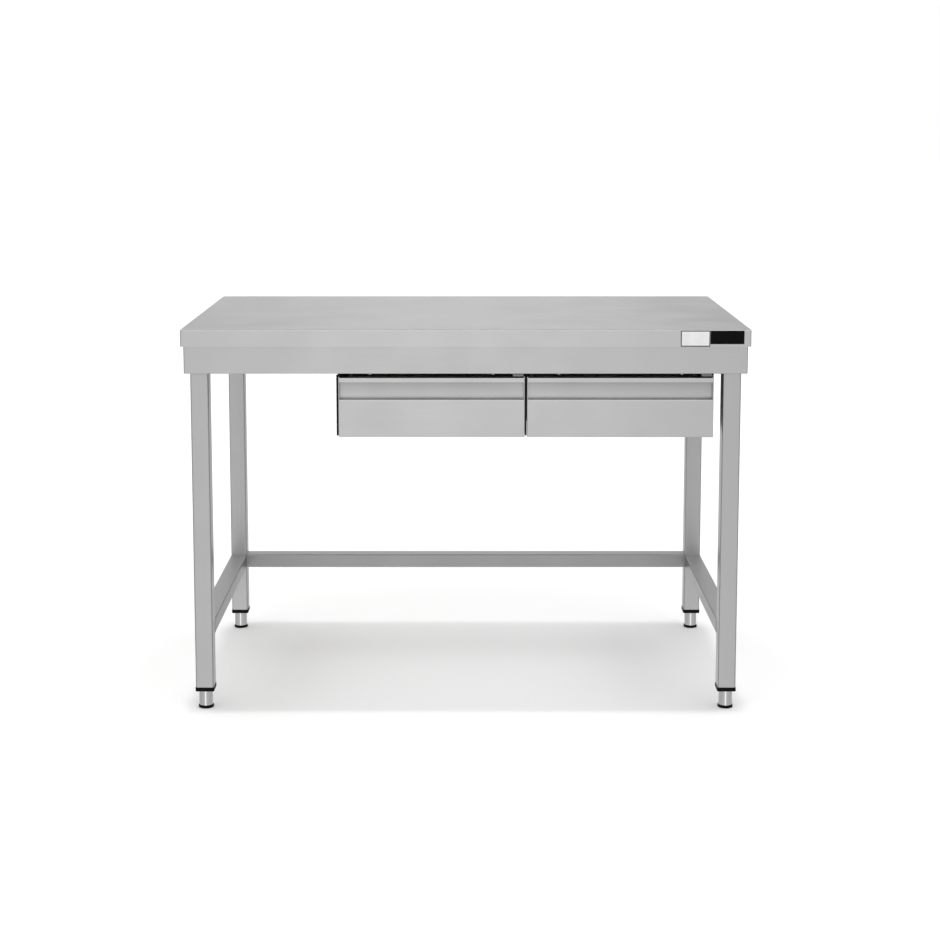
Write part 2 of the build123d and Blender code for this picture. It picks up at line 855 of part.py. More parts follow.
for name, web_low, web_high, sides in hanger_webs():
    save(make_hanger(web_low, web_high, sides), name)
save(make_tie_front(), "tie_front")
save(make_tie_rear(), "tie_rear")
save(make_drawer_frame_screws(), "drawer_frame_screws")
save(make_bumpers(), "drawer_bumpers")
save(make_runner("outer", drawer_centres.values()), "runner_outer_members")

for name, centre in drawer_centres.items():
    save(make_runner("middle", [centre]), f"{name}_runner_middle")
    save(make_runner("inner", [centre]), f"{name}_runner_inner")
    save(make_tray(centre), f"{name}_drawer_tray")
    save(make_drawer_front(centre), f"{name}_drawer_front")
    save(make_grip(centre), f"{name}_drawer_grip")
    save(make_liner(centre), f"{name}_drawer_liner")
    save(pan_screws(front_screw_planes(centre), front_screw_length), f"{name}_drawer_screws")

save(make_plate(light_plate_place), "light_plate")
save(make_plate(dark_plate_place), "dark_plate")
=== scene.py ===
import math
import random

import bpy
import bmesh
from mathutils import Matrix, Vector


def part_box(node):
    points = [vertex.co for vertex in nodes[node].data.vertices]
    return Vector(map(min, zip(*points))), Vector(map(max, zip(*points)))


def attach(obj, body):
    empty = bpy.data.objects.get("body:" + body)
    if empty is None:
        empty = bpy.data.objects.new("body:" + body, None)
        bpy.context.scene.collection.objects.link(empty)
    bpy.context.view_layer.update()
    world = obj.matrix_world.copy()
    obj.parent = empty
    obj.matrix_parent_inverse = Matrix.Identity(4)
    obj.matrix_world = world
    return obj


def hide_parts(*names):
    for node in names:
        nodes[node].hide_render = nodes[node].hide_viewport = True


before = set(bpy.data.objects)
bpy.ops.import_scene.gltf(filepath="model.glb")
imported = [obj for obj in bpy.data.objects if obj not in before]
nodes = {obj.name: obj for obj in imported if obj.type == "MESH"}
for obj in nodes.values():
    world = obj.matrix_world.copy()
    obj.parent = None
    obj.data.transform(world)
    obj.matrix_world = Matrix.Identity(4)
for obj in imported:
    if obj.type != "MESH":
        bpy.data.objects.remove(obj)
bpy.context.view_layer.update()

scene = bpy.context.scene
CORNERS = ("front_left", "front_right", "rear_left", "rear_right")
DRAWERS = ("left", "right")
SQUARE = ((-1, -1), (1, -1), (1, 1), (-1, 1))
X, Y, Z = 0, 1, 2
MM = 0.001

# Camera: straight on, a little above the top, looking slightly down (lens in mm, pitch in degrees)
SENSOR_WIDTH = 36.0
LENS = 67.6
SHIFT_X = 0.0046
SHIFT_Y = -0.155
CAMERA_PLACE = (0.0, -4.176, 1.3385)
CAMERA_PITCH = 6.9
FARTHEST_SEEN = 100.0

# The studio's light, as pairs of a place and a grey. A place is a coordinate of the direction, from 0 to 1.
# The walls go by X, from left to right, and are brightest in the middle.
WALL_STOPS = [
    (0.0, 0.36),
    (0.38, 0.48),
    (0.44, 0.86),
    (0.49, 1.16),
    (0.54, 0.99),
    (0.585, 0.46),
    (1.0, 0.36),
]
# How much of that the walls keep goes by Y, from front to back.
DEPTH_STOPS = [(0.3, 1.34), (0.7, 0.50)]
# Below the horizon, which is at 0.5 of Z, the depth no longer counts and everything keeps as much as this.
GROUND_STOPS = [(0.44, 1.0), (0.51, 0.0)]
GROUND_SHARE = 1.34
# The walls turn into the ceiling by Z, and the ceiling is a ring, dimmer overhead, where the sun takes over.
RISE_STOPS = [(0.62, 0.0), (0.80, 1.0)]
CEILING_STOPS = [(0.82, 1.95), (0.93, 0.45)]

# Sun (its angle in degrees) and floor
SUN_STRENGTH = 0.72
SUN_ANGLE = 3.0
SUN_HEIGHT = 4.0
FLOOR_REACH = 40.0


# ---------------------------------------------------------------- node helpers


def grey(level):
    return (level, level, level)


def color_sockets(sockets):
    """The colour sockets of a mix node, which also has sockets for numbers and vectors."""
    return [socket for socket in sockets if socket.type == "RGBA"]


class Nodes:
    """Adds nodes to one tree. What a node takes is either a value or another node's output."""

    def __init__(self, tree):
        self.tree = tree

    def add(self, kind, **settings):
        node = self.tree.nodes.new(kind)
        for name, value in settings.items():
            setattr(node, name, value)
        return node

    def feed(self, socket, value):
        """Link an output to a socket, or set the socket to a number, a vector or an RGB colour."""
        if isinstance(value, bpy.types.NodeSocket):
            self.tree.links.new(value, socket)
        elif socket.type == "RGBA":
            socket.default_value = (*value, 1.0)
        else:
            socket.default_value = value

    def split(self, vector):
        """The three coordinates of a vector."""
        node = self.add("ShaderNodeSeparateXYZ")
        self.feed(node.inputs[0], vector)
        return [node.outputs[axis] for axis in "XYZ"]

    def math(self, operation, first, second):
        node = self.add("ShaderNodeMath", operation=operation)
        self.feed(node.inputs[0], first)
        self.feed(node.inputs[1], second)
        return node.outputs["Value"]

    def weigh(self, first, first_share, second, second_share):
        """Add up two values, each times its share."""
        return self.math(
            "ADD", self.math("MULTIPLY", first, first_share), self.math("MULTIPLY", second, second_share)
        )

    def remap(self, value, old, new=(0.0, 1.0)):
        """Bring a value from one range to another, and hold it there."""
        node = self.add("ShaderNodeMapRange")
        for end, number in zip(("From Min", "From Max", "To Min", "To Max"), (*old, *new)):
            self.feed(node.inputs[end], number)
        self.feed(node.inputs["Value"], value)
        return node.outputs["Result"]

    def ramp(self, value, stops):
        """Colour ramp over a value. Each stop is a place and a colour."""
        node = self.add("ShaderNodeValToRGB")
        elements = node.color_ramp.elements
        while len(elements) < len(stops):
            elements.new(0.5)
        for element, (place, color) in zip(elements, stops):
            element.position = place
            element.color = (*color, 1.0)
        self.feed(node.inputs["Fac"], value)
        return node.outputs["Color"]

    def grey_ramp(self, value, stops):
        return self.ramp(value, [(place, grey(level)) for place, level in stops])

    def mix(self, factor, first, second, blend_type="MIX"):
        """Mix two colours."""
        node = self.add("ShaderNodeMix", data_type="RGBA", blend_type=blend_type)
        self.feed(node.inputs["Factor"], factor)
        for socket, value in zip(color_sockets(node.inputs), (first, second)):
            self.feed(socket, value)
        return color_sockets(node.outputs)[0]


class Finish(Nodes):
    """The nodes round one material's shader."""

    def __init__(self, name):
        self.material = bpy.data.materials.new(name)
        self.material.use_nodes = True
        super().__init__(self.material.node_tree)
        self.shader = self.tree.nodes["Principled BSDF"]
        self.place = self.add("ShaderNodeTexCoord").outputs["Object"]

    def put(self, name, value):
        """Set or link one of the shader's own sockets."""
        self.feed(self.shader.inputs[name], value)

    def noise(self, scale, detail, roughness):
        """Noise over the object's coordinates. Its scale is in features per metre, by axis or for all."""
        mapping = self.add("ShaderNodeMapping")
        self.feed(mapping.inputs["Scale"], scale if isinstance(scale, tuple) else (scale,) * 3)
        self.feed(mapping.inputs["Vector"], self.place)
        noise = self.add("ShaderNodeTexNoise")
        self.feed(noise.inputs["Scale"], 1.0)
        self.feed(noise.inputs["Detail"], detail)
        self.feed(noise.inputs["Roughness"], roughness)
        self.feed(noise.inputs["Vector"], mapping.outputs["Vector"])
        return noise.outputs["Fac"]

    def wear_and_highlight_edges(self, color, radius, rubbed_and_lit, turned=(0.90, 0.995), most=1.0):
        """Lighten a colour near bends and edges, where a rounded normal turns away from the face's own:
        partly rubbed wear, partly a painted highlight.
        """
        bevel = self.add("ShaderNodeBevel", samples=4)
        self.feed(bevel.inputs["Radius"], radius)
        dot = self.add("ShaderNodeVectorMath", operation="DOT_PRODUCT")
        self.feed(dot.inputs[0], bevel.outputs["Normal"])
        self.feed(dot.inputs[1], self.add("ShaderNodeNewGeometry").outputs["Normal"])
        worn_and_lit = self.remap(dot.outputs["Value"], turned, (most, 0.0))
        return self.mix(worn_and_lit, color, grey(rubbed_and_lit))

    def bump(self, height, strength, distance):
        node = self.add("ShaderNodeBump")
        self.feed(node.inputs["Strength"], strength)
        self.feed(node.inputs["Distance"], distance)
        self.feed(node.inputs["Height"], height)
        self.put("Normal", node.outputs["Normal"])


# ---------------------------------------------------------------- camera, stage and light


def make_camera():
    camera = bpy.data.cameras.new("camera")
    camera.sensor_width = SENSOR_WIDTH
    camera.lens = LENS
    camera.shift_x = SHIFT_X
    camera.shift_y = SHIFT_Y
    camera.clip_end = FARTHEST_SEEN
    holder = bpy.data.objects.new("camera", camera)
    holder.location = CAMERA_PLACE
    holder.rotation_euler = (math.radians(90.0 - CAMERA_PITCH), 0.0, 0.0)
    scene.collection.objects.link(holder)
    scene.camera = holder


def make_world():
    """White surroundings for the camera; for light and reflections, a pale room."""
    world = bpy.data.worlds.new("studio")
    scene.world = world
    world.use_nodes = True
    studio = Nodes(world.node_tree)
    studio.tree.nodes.clear()
    direction = studio.add("ShaderNodeTexCoord").outputs["Generated"]
    across, depth, height = [studio.remap(part, (-1.0, 1.0)) for part in studio.split(direction)]
    ground = studio.grey_ramp(height, GROUND_STOPS)
    share = studio.mix(ground, studio.grey_ramp(depth, DEPTH_STOPS), grey(GROUND_SHARE))
    walls = studio.mix(1.0, studio.grey_ramp(across, WALL_STOPS), share, "MULTIPLY")
    ceiling = studio.grey_ramp(height, CEILING_STOPS)
    room = studio.add("ShaderNodeBackground")
    studio.feed(room.inputs["Color"], studio.mix(studio.grey_ramp(height, RISE_STOPS), walls, ceiling))
    white = studio.add("ShaderNodeBackground")
    studio.feed(white.inputs["Color"], grey(1.0))
    chosen = studio.add("ShaderNodeMixShader")
    studio.feed(chosen.inputs["Fac"], studio.add("ShaderNodeLightPath").outputs["Is Camera Ray"])
    studio.feed(chosen.inputs[1], room.outputs[0])
    studio.feed(chosen.inputs[2], white.outputs[0])
    output = studio.add("ShaderNodeOutputWorld")
    studio.feed(output.inputs["Surface"], chosen.outputs[0])


def make_sun():
    """Overhead light that throws the soft shadow under the table and leaves the steel to the room."""
    light = bpy.data.lights.new("overhead", "SUN")
    light.energy = SUN_STRENGTH
    light.angle = math.radians(SUN_ANGLE)
    holder = bpy.data.objects.new("overhead", light)
    holder.location = (0.0, 0.0, SUN_HEIGHT)
    holder.visible_glossy = False
    scene.collection.objects.link(holder)


def make_floor():
    """Plain pale floor, large enough to reach the horizon in every view.

    The steel mirrors the room's walls in its place, which is what gives the upright faces their shading.
    """
    mesh = bpy.data.meshes.new("floor")
    corners = [(a * FLOOR_REACH, b * FLOOR_REACH, 0.0) for a, b in SQUARE]
    mesh.from_pydata(corners, [], [range(len(corners))])
    paint = Finish("floor_paint")
    paint.put("Base Color", grey(0.95))
    paint.put("Roughness", 0.9)
    paint.put("Specular IOR Level", 0.1)
    mesh.materials.append(paint.material)
    floor = bpy.data.objects.new("floor", mesh)
    floor.visible_glossy = False
    scene.collection.objects.link(floor)


def make_stage():
    make_camera()
    make_world()
    make_sun()
    make_floor()
    scene.view_settings.view_transform = "Standard"
    scene.view_settings.look = "None"


# ---------------------------------------------------------------- materials


def tinted(shade, red, green, blue):
    """A shade of grey with each channel a little off it."""
    return (shade * red, shade * green, shade * blue)


def grain_scale(axis, along, across):
    """Noise scale for grain along one axis: few features along it, many across it."""
    return tuple(along if i == axis else across for i in (X, Y, Z))


# Painted shade in the finger space starts this far behind the front of the grip strip, and is full by this
# far.
RECESS_START = 3.0 * MM
RECESS_FULL = 6.0 * MM


def paint_recess_shade(finish, color):
    """Darken the sheet inside the finger space as painted shade, most of all just under the lip."""
    low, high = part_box("left_drawer_grip")
    y, z = finish.split(finish.place)[1:]
    depth = finish.remap(y, (low[Y] + RECESS_START, low[Y] + RECESS_FULL))
    painted_shade = finish.grey_ramp(finish.remap(z, (low[Z], high[Z])), [(0.0, 0.93), (0.75, 0.70)])
    return finish.mix(depth, color, painted_shade, "MULTIPLY")


def brushed_steel(name, axis, shade, roughness=0.34, painted_recess_shade=False):
    """Satin stainless sheet: fine grain along one axis, soft clouding and brighter edges, partly rubbed wear
    and partly painted highlight; painted shade in a finger recess where asked.
    """
    finish = Finish(name)
    finish.put("Metallic", 1.0)
    fine = finish.noise(grain_scale(axis, along=9.0, across=1400.0), detail=2.0, roughness=0.6)
    medium = finish.noise(grain_scale(axis, along=3.0, across=320.0), detail=3.0, roughness=0.6)
    cloud = finish.noise(2.6, detail=4.0, roughness=0.55)
    smudge = finish.noise(11.0, detail=5.0, roughness=0.6)
    grain = finish.weigh(fine, 0.5, medium, 0.5)
    dark = tinted(shade, 0.90, 0.90, 0.895)
    light = tinted(shade, 1.09, 1.09, 1.085)
    grain_color = finish.ramp(finish.remap(grain, (0.18, 0.82)), [(0.0, dark), (1.0, light)])
    low_tint = tinted(shade, 0.97, 0.97, 0.975)
    high_tint = tinted(shade, 1.02, 1.02, 1.015)
    tint = finish.ramp(cloud, [(0.3, low_tint), (0.7, high_tint)])
    # Edges lighter, partly rubbed wear and partly a painted highlight.
    color = finish.wear_and_highlight_edges(finish.mix(0.5, grain_color, tint), 1.6 * MM, shade * 1.1)
    finish.put("Base Color", paint_recess_shade(finish, color) if painted_recess_shade else color)
    rough = finish.remap(grain, (0.3, 0.7), (roughness - 0.05, roughness + 0.05))
    smudged = finish.remap(smudge, (0.35, 0.7), (-0.018, 0.028))
    finish.put("Roughness", finish.math("ADD", rough, smudged))
    finish.bump(grain, 0.35, 0.06 * MM)
    return finish.material


def mill_steel(name, shade, roughness=0.38):
    """Plain rolled sheet: no directed grain, faint clouding."""
    finish = Finish(name)
    finish.put("Metallic", 1.0)
    speck = finish.noise(700.0, detail=3.0, roughness=0.6)
    cloud = finish.noise(9.0, detail=4.0, roughness=0.6)
    mixed = finish.weigh(speck, 0.45, cloud, 0.55)
    color = finish.grey_ramp(mixed, [(0.3, shade * 0.86), (0.7, shade * 1.08)])
    # Edges lighter, partly rubbed wear and partly a painted highlight.
    finish.put("Base Color", finish.wear_and_highlight_edges(color, 1.0 * MM, shade * 1.2))
    finish.put("Roughness", finish.remap(cloud, (0.3, 0.7), (roughness - 0.06, roughness + 0.08)))
    finish.bump(speck, 0.25, 0.05 * MM)
    return finish.material


def zinc_plate(name, shade):
    """Bright zinc with the spangle and slight blue of plated runners and screws."""
    finish = Finish(name)
    finish.put("Metallic", 1.0)
    cells = finish.add("ShaderNodeTexVoronoi")
    finish.feed(cells.inputs["Scale"], 260.0)
    finish.feed(cells.inputs["Vector"], finish.place)
    cloud = finish.noise(14.0, detail=4.0, roughness=0.6)
    flake = finish.remap(cells.outputs["Distance"], (0.0, 0.8), (0.0, 0.35))
    mixed = finish.math("ADD", flake, finish.math("MULTIPLY", cloud, 0.65))
    dark = tinted(shade, 0.82, 0.84, 0.87)
    light = tinted(shade, 1.08, 1.09, 1.10)
    finish.put("Base Color", finish.ramp(mixed, [(0.25, dark), (0.7, light)]))
    finish.put("Roughness", finish.remap(mixed, (0.2, 0.7), (0.24, 0.42)))
    finish.bump(cloud, 0.2, 0.05 * MM)
    return finish.material


def moulded_plastic(name, shade, roughness):
    """Moulded nylon or rubber: fine pitted texture with scuffed, lighter edges."""
    finish = Finish(name)
    finish.put("Specular IOR Level", 0.08)
    pits = finish.noise(1500.0, detail=3.0, roughness=0.6)
    cloud = finish.noise(60.0, detail=4.0, roughness=0.6)
    color = finish.grey_ramp(cloud, [(0.3, shade * 0.8), (0.75, shade * 1.5)])
    scuffed = finish.wear_and_highlight_edges(color, 0.8 * MM, shade * 2.4, turned=(0.88, 0.99), most=0.7)
    finish.put("Base Color", scuffed)
    finish.put("Roughness", finish.remap(cloud, (0.3, 0.7), (roughness - 0.07, roughness + 0.1)))
    finish.bump(pits, 0.4, 0.06 * MM)
    return finish.material


def powder_coat(name, shade):
    """Black powder coat with its orange-peel skin."""
    finish = Finish(name)
    finish.put("Specular IOR Level", 0.15)
    peel = finish.noise(420.0, detail=2.0, roughness=0.5)
    cloud = finish.noise(8.0, detail=4.0, roughness=0.6)
    finish.put("Base Color", finish.grey_ramp(cloud, [(0.3, shade * 0.8), (0.7, shade * 1.35)]))
    finish.put("Roughness", finish.remap(cloud, (0.3, 0.7), (0.46, 0.6)))
    finish.bump(peel, 0.3, 0.08 * MM)
    return finish.material


def pressed_board(name):
    """Raw laminated board: chips on its faces, layers across its edges."""
    finish = Finish(name)
    chips = finish.noise((210.0, 90.0, 500.0), detail=4.0, roughness=0.65)
    cloud = finish.noise(12.0, detail=3.0, roughness=0.5)
    mixed = finish.weigh(chips, 0.7, cloud, 0.3)
    stops = [(0.35, (0.20, 0.13, 0.07)), (0.5, (0.42, 0.30, 0.18)), (0.68, (0.60, 0.46, 0.30))]
    finish.put("Base Color", finish.ramp(mixed, stops))
    finish.put("Roughness", finish.remap(chips, (0.3, 0.7), (0.7, 0.9)))
    finish.bump(chips, 0.6, 0.3 * MM)
    return finish.material


def lacquered(name, shade, roughness):
    """Lacquered name plate: faint printing unevenness and fine wipe marks."""
    finish = Finish(name)
    finish.put("Specular IOR Level", 0.04)
    wipes = finish.noise((40.0, 40.0, 700.0), detail=3.0, roughness=0.5)
    cloud = finish.noise(50.0, detail=3.0, roughness=0.5)
    finish.put("Base Color", finish.grey_ramp(cloud, [(0.3, shade * 0.93), (0.7, shade)]))
    finish.put("Roughness", finish.remap(wipes, (0.3, 0.7), (roughness - 0.05, roughness + 0.07)))
    finish.bump(wipes, 0.1, 0.03 * MM)
    return finish.material


STEEL = 0.55
materials = {
    "top": brushed_steel("top_steel", X, STEEL),
    "apron_x": brushed_steel("apron_steel_x", X, STEEL * 0.95),
    "apron_y": brushed_steel("apron_steel_y", Y, STEEL * 0.95),
    "drawer": brushed_steel("drawer_steel", X, STEEL * 0.97),
    # The grip's steel carries painted shade in its finger recess.
    "grip": brushed_steel("grip_steel_recess_shade", X, STEEL, painted_recess_shade=True),
    "leg": brushed_steel("leg_steel", Z, STEEL * 0.90),
    # The rails are darker than the sheets: painted shade for their place under the top, with the rear rail
    # darkest.
    "rail_x": brushed_steel("rail_steel_x_painted_shade", X, STEEL * 0.59),
    "rail_y": brushed_steel("rail_steel_y_painted_shade", Y, STEEL * 0.68),
    "sleeve": brushed_steel("sleeve_steel", X, STEEL * 1.35, roughness=0.17),
    "mill": mill_steel("mill_steel", STEEL * 0.95),
    "weld": mill_steel("weld_metal", STEEL * 0.8, roughness=0.42),
    "zinc": zinc_plate("zinc_plate", 0.55),
    "nylon": moulded_plastic("black_nylon", 0.003, roughness=0.42),
    "rubber": moulded_plastic("bumper_rubber", 0.015, roughness=0.7),
    # Black coat of the drawer frame, whose near-black also stands in for the shade in the narrow gaps round
    # and between the drawers.
    "coat": powder_coat("black_coat_and_gap_shade", 0.005),
    "board": pressed_board("pressed_board"),
    "pale": lacquered("pale_lacquer", 0.74, roughness=0.3),
    "dark": lacquered("dark_lacquer", 0.004, roughness=0.35),
}

# The finishes of the CAD nodes: by whole name, by how the name starts, where the first match counts, and by
# how it ends. All others are zinc-plated.
NODE_FINISHES = {
    "worktop_skin": "top",
    "core_board": "board",
    "omega_stiffeners": "mill",
    "apron_front": "apron_x",
    "apron_rear": "apron_x",
    "apron_left": "apron_y",
    "apron_right": "apron_y",
    "rear_rail": "rail_x",
    "left_rail": "rail_y",
    "right_rail": "rail_y",
    "drawer_bumpers": "rubber",
    "light_plate": "pale",
    "dark_plate": "dark",
}
START_FINISHES = {
    "leg_bracket": "mill",
    "leg_screws": "zinc",
    "leg_": "leg",
    "foot_insert": "nylon",
    "foot_pad": "nylon",
    "foot_sleeve": "sleeve",
    # Hangers and ties are black-coated; the black also does the work of the shade in the gaps round the
    # drawers.
    "hanger_": "coat",
    "tie_": "coat",
}
END_FINISHES = {"_front": "drawer", "_grip": "grip", "_tray": "mill", "_liner": "mill"}


def finish_of(node):
    """The finish that a CAD node is made in."""
    if node in NODE_FINISHES:
        return NODE_FINISHES[node]
    for start, finish in START_FINISHES.items():
        if node.startswith(start):
            return finish
    for end, finish in END_FINISHES.items():
        if node.endswith(end):
            return finish
    return "zinc"


def dress_nodes():
    """Give every CAD node its finish."""
    for name, thing in nodes.items():
        thing.data.materials.clear()
        thing.data.materials.append(materials[finish_of(name)])


# ---------------------------------------------------------------- pieces

SHARP_ANGLE = math.radians(35.0)


def add_piece(name, mesh_maker, finish, body):
    """Make one piece from a bmesh, dress it and let it ride on a body of the frame."""
    mesh_data = bmesh.new()
    mesh_maker(mesh_data)
    bmesh.ops.recalc_face_normals(mesh_data, faces=mesh_data.faces[:])
    mesh = bpy.data.meshes.new(name)
    mesh_data.to_mesh(mesh)
    mesh_data.free()
    mesh.materials.append(materials[finish])
    mesh.shade_smooth()
    mesh.set_sharp_from_angle(angle=SHARP_ANGLE)
    piece = bpy.data.objects.new(name, mesh)
    scene.collection.objects.link(piece)
    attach(piece, body)
    return piece


def skin_rings(mesh_data, rings, looped=False):
    """Join rings of points, all of one length, with quads: into a closed solid, or into a loop."""
    made = [[mesh_data.verts.new(point) for point in ring] for ring in rings]
    pairs = list(zip(made, made[1:]))
    if looped:
        pairs.append((made[-1], made[0]))
    for low, high in pairs:
        for i in range(len(low)):
            j = (i + 1) % len(low)
            mesh_data.faces.new((low[i], low[j], high[j], high[i]))
    if not looped:
        mesh_data.faces.new(made[0])
        mesh_data.faces.new(made[-1])


# Foot stems: plain rod below the collar, M10 thread above it. Flanks steeper than 1 leave a flat at the root.
THREAD_PITCH = 1.5 * MM
THREAD_DEPTH = 0.85 * MM
THREAD_FLANK = 1.25
STEM_RADIUS = 4.95 * MM
STEM_SIDES = 24
STEM_CHAMFER = 1.0 * MM
STEPS_PER_TURN = 6
COLLAR_RADIUS = 8.0 * MM
COLLAR_HEIGHT = 3.0 * MM
COLLAR_CHAMFER = 0.5 * MM
COLLAR_BELOW_SLEEVE_TOP = 2.0 * MM


def thread_radius(height, turn):
    """Radius of the thread at a height and a share of a turn."""
    phase = (height / THREAD_PITCH - turn) % 1.0
    return STEM_RADIUS - THREAD_DEPTH * min(1.0, abs(2.0 * phase - 1.0) * THREAD_FLANK)


def thread_ring(height):
    """One ring of the thread, round the stem's own axis."""
    points = []
    for i in range(STEM_SIDES):
        turn = i / STEM_SIDES
        radius = thread_radius(height, turn)
        points.append((radius * math.cos(math.tau * turn), radius * math.sin(math.tau * turn), height))
    return points


def plain_ring(height, radius):
    """One round ring, round the stem's own axis."""
    turns = [math.tau * i / STEM_SIDES for i in range(STEM_SIDES)]
    return [(radius * math.cos(turn), radius * math.sin(turn), height) for turn in turns]


def stem_rings(low, high, collar_top):
    """Rings of a stem from bottom to top, round its own axis."""
    collar_low = collar_top - COLLAR_HEIGHT
    root_radius = STEM_RADIUS - THREAD_DEPTH
    outline = [
        (low, STEM_RADIUS - STEM_CHAMFER),
        (low + STEM_CHAMFER, STEM_RADIUS),
        (collar_low, STEM_RADIUS),
        (collar_low, COLLAR_RADIUS - COLLAR_CHAMFER),
        (collar_low + COLLAR_CHAMFER, COLLAR_RADIUS),
        (collar_top - COLLAR_CHAMFER, COLLAR_RADIUS),
        (collar_top, COLLAR_RADIUS - COLLAR_CHAMFER),
        (collar_top, root_radius),
    ]
    rings = [plain_ring(height, radius) for height, radius in outline]
    step = THREAD_PITCH / STEPS_PER_TURN
    start = collar_top + THREAD_PITCH
    count = int((high - STEM_CHAMFER - start) / step)
    rings += [thread_ring(start + i * step) for i in range(count)]
    rings.append(plain_ring(high, root_radius))
    return rings


def make_stems():
    """Threaded stems in the place of the plain ones."""
    for corner in CORNERS:
        node = f"foot_stem_{corner}"
        low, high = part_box(node)
        sleeve_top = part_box(f"foot_sleeve_{corner}")[1][Z]
        centre_x = (low[X] + high[X]) / 2
        centre_y = (low[Y] + high[Y]) / 2
        own_rings = stem_rings(low[Z], high[Z], sleeve_top - COLLAR_BELOW_SLEEVE_TOP)
        rings = [[(centre_x + x, centre_y + y, z) for x, y, z in ring] for ring in own_rings]
        piece = add_piece(
            f"threaded_stem_{corner}",
            lambda data: skin_rings(data, rings),
            "zinc",
            f"{corner}_foot_screw",
        )
        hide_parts(node)


# Weld beads, whose radius swells and shrinks along them, as shares of that radius
BEAD_SIDES = 8
BEAD_MEAN = 0.86
BEAD_RIPPLE = 0.14
BEAD_UNEVENNESS = 0.03
RIPPLE_LENGTH = 1.9 * MM
POINTS_PER_RIPPLE = 4


def bead_rings(points, radius, chance):
    """Rings of a rippled bead along a run of points."""
    rings = []
    for i, point in enumerate(points):
        before = points[max(i - 1, 0)]
        after = points[min(i + 1, len(points) - 1)]
        along = (after - before).normalized()
        side = along.orthogonal().normalized()
        other = along.cross(side)
        wave = math.sin(math.tau * i / POINTS_PER_RIPPLE)
        uneven = chance.uniform(-BEAD_UNEVENNESS, BEAD_UNEVENNESS)
        ripple = radius * (BEAD_MEAN + BEAD_RIPPLE * wave + uneven)
        angles = [math.tau * k / BEAD_SIDES for k in range(BEAD_SIDES)]
        rings.append([point + ripple * (side * math.cos(a) + other * math.sin(a)) for a in angles])
    return rings


def run_of_points(start, end):
    """Evenly spaced points between two ends."""
    start, end = Vector(start), Vector(end)
    count = max(2, int((end - start).length / (RIPPLE_LENGTH / POINTS_PER_RIPPLE)))
    return [start.lerp(end, i / count) for i in range(count + 1)]


def add_beads(name, runs, radius, chance):
    """One piece of the frame, with a bead along each straight run."""

    def fill(mesh_data):
        for start, end in runs:
            skin_rings(mesh_data, bead_rings(run_of_points(start, end), radius, chance))

    add_piece(name, fill, "weld", "frame")


# Welds round the ends of the rails, a little short of their corners
RAIL_BEAD_RADIUS = 1.5 * MM
RAIL_BEAD_SHORT = 3.0 * MM
RAIL_AXES = {"left_rail": Y, "right_rail": Y, "rear_rail": X}


def rail_end_runs(low, high, axis, place):
    """The four sides of a rail's end, in the plane across its axis at a place."""
    first, second = [i for i in (X, Y, Z) if i != axis]
    runs = []
    for moving, fixed in ((first, second), (second, first)):
        for edge in (low[fixed], high[fixed]):
            start = [0.0, 0.0, 0.0]
            end = [0.0, 0.0, 0.0]
            start[axis] = end[axis] = place
            start[fixed] = end[fixed] = edge
            start[moving] = low[moving] + RAIL_BEAD_SHORT
            end[moving] = high[moving] - RAIL_BEAD_SHORT
            runs.append((start, end))
    return runs


def make_rail_welds():
    chance = random.Random(11)
    for rail, axis in RAIL_AXES.items():
        low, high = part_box(rail)
        runs = rail_end_runs(low, high, axis, low[axis]) + rail_end_runs(low, high, axis, high[axis])
        add_beads(f"{rail}_welds", runs, RAIL_BEAD_RADIUS, chance)


# Dressed butt welds at the corners of the apron, mostly sunk in the sheet. They start over its lower edge and
# end behind the skirt.
SEAM_RADIUS = 1.0 * MM
SEAM_SUNK = 0.75 * MM
SEAM_START = 3.0 * MM
SEAM_BEHIND_SKIRT = 2.0 * MM


def make_apron_seams():
    """Seams where the side aprons meet the front and rear ones."""
    chance = random.Random(23)
    skirt_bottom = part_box("worktop_skin")[0][Z]
    left_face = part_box("apron_left")[0][X] + SEAM_SUNK
    right_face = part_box("apron_right")[1][X] - SEAM_SUNK
    for side, x in (("left", left_face), ("right", right_face)):
        low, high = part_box(f"apron_{side}")
        bottom = low[Z] + SEAM_START
        top = skirt_bottom + SEAM_BEHIND_SKIRT
        runs = [((x, y, bottom), (x, y, top)) for y in (low[Y], high[Y])]
        add_beads(f"apron_{side}_seams", runs, SEAM_RADIUS, chance)


# Dark border printed round the pale plate
BORDER_WIDTH = 1.9 * MM
BORDER_CORNER = 1.5 * MM
BORDER_INNER_CORNER = 0.6 * MM
BORDER_RISE = 0.12 * MM
ARC_STEPS = 5


def rounded_loop(low, high, inset, corner, y):
    """Points of a rectangle with rounded corners in an XZ plane, going round once."""
    left, right = low[X] + inset + corner, high[X] - inset - corner
    bottom, top = low[Z] + inset + corner, high[Z] - inset - corner
    points = []
    for quarter, (x, z) in enumerate([(right, top), (left, top), (left, bottom), (right, bottom)]):
        for i in range(ARC_STEPS + 1):
            angle = math.tau / 4.0 * (quarter + i / ARC_STEPS)
            points.append((x + corner * math.cos(angle), y, z + corner * math.sin(angle)))
    return points


def make_plate_border():
    """A thin raised frame that goes into the plate's face."""
    low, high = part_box("light_plate")
    front = low[Y] - BORDER_RISE
    back = low[Y] + BORDER_RISE
    loops = [
        rounded_loop(low, high, 0.0, BORDER_CORNER, back),
        rounded_loop(low, high, 0.0, BORDER_CORNER, front),
        rounded_loop(low, high, BORDER_WIDTH, BORDER_INNER_CORNER, front),
        rounded_loop(low, high, BORDER_WIDTH, BORDER_INNER_CORNER, back),
    ]
    add_piece(
        "plate_border",
        lambda data: skin_rings(data, loops, looped=True),
        "dark",
        "frame",
    )


